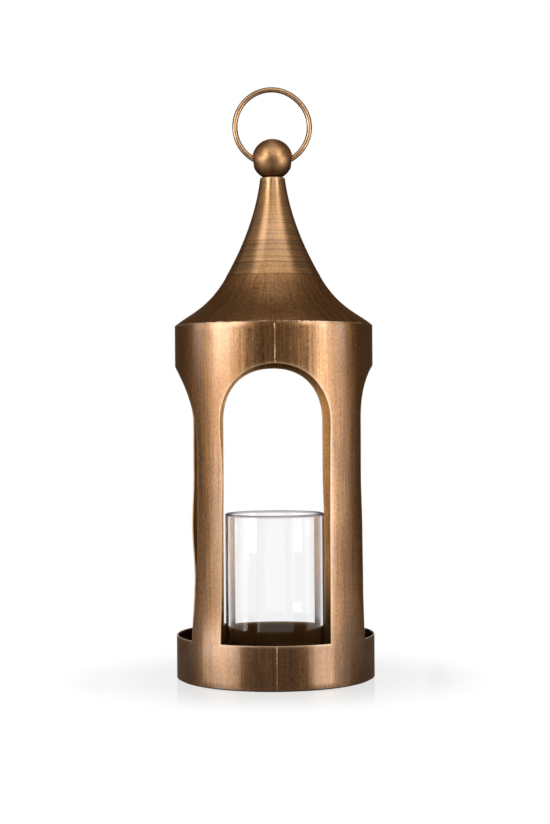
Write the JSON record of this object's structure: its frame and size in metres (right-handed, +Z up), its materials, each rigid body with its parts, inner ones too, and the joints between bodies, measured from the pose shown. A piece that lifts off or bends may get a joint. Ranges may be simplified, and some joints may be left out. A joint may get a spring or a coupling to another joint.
{
  "type": "lantern",
  "caption": "Tall sheet-brass candle lantern: tube with arched windows, trumpet roof, ball finial with a swinging carrying ring, and a loose glass cylinder inside.",
  "frame": {"origin": "centre of the underside of the base, on the surface that the lantern stands on", "axes": "+Z up along the tube's axis; -Y towards the front, where the tube's seam is; +X to the right seen from the front"},
  "size_m": [0.15, 0.15, 0.4481],
  "materials": {
    "antique_brass": "antiqued, brushed lengthwise",
    "floor_brass": "dull, toned dark",
    "dark_brass": "antiqued dark, satin",
    "spun_brass": "antiqued, fine turning rings",
    "ball_brass": "satin, toned brown",
    "bright_wire": "satin, brighter than the body",
    "screw_steel": "plain",
    "black_felt": "felt",
    "clear_glass": "clear, fire-polished lip"
  },
  "bodies": {
    "lantern": {"body_tube": "antique_brass", "floor_plate": "floor_brass", "base_felt": "black_felt", "roof_flare": "dark_brass", "roof_spire": "spun_brass", "finial_ball": "ball_brass", "finial_washer": "screw_steel", "finial_screw": "screw_steel"},
    "ring": {"hanging_ring": "bright_wire"},
    "glass": {"glass_cylinder": "clear_glass"}
  },
  "joints": [
    {"name": "ring_swing", "type": "hinge", "parent": "lantern", "child": "ring", "pos_m": [0, 0, 0.39173], "axis": [1, 0, 0], "range_deg": [-157, 157]},
    {"name": "glass_lift", "type": "slide", "parent": "lantern", "child": "glass", "axis": [0, 0, 1], "range_m": [0, 0.08]}
  ]
}
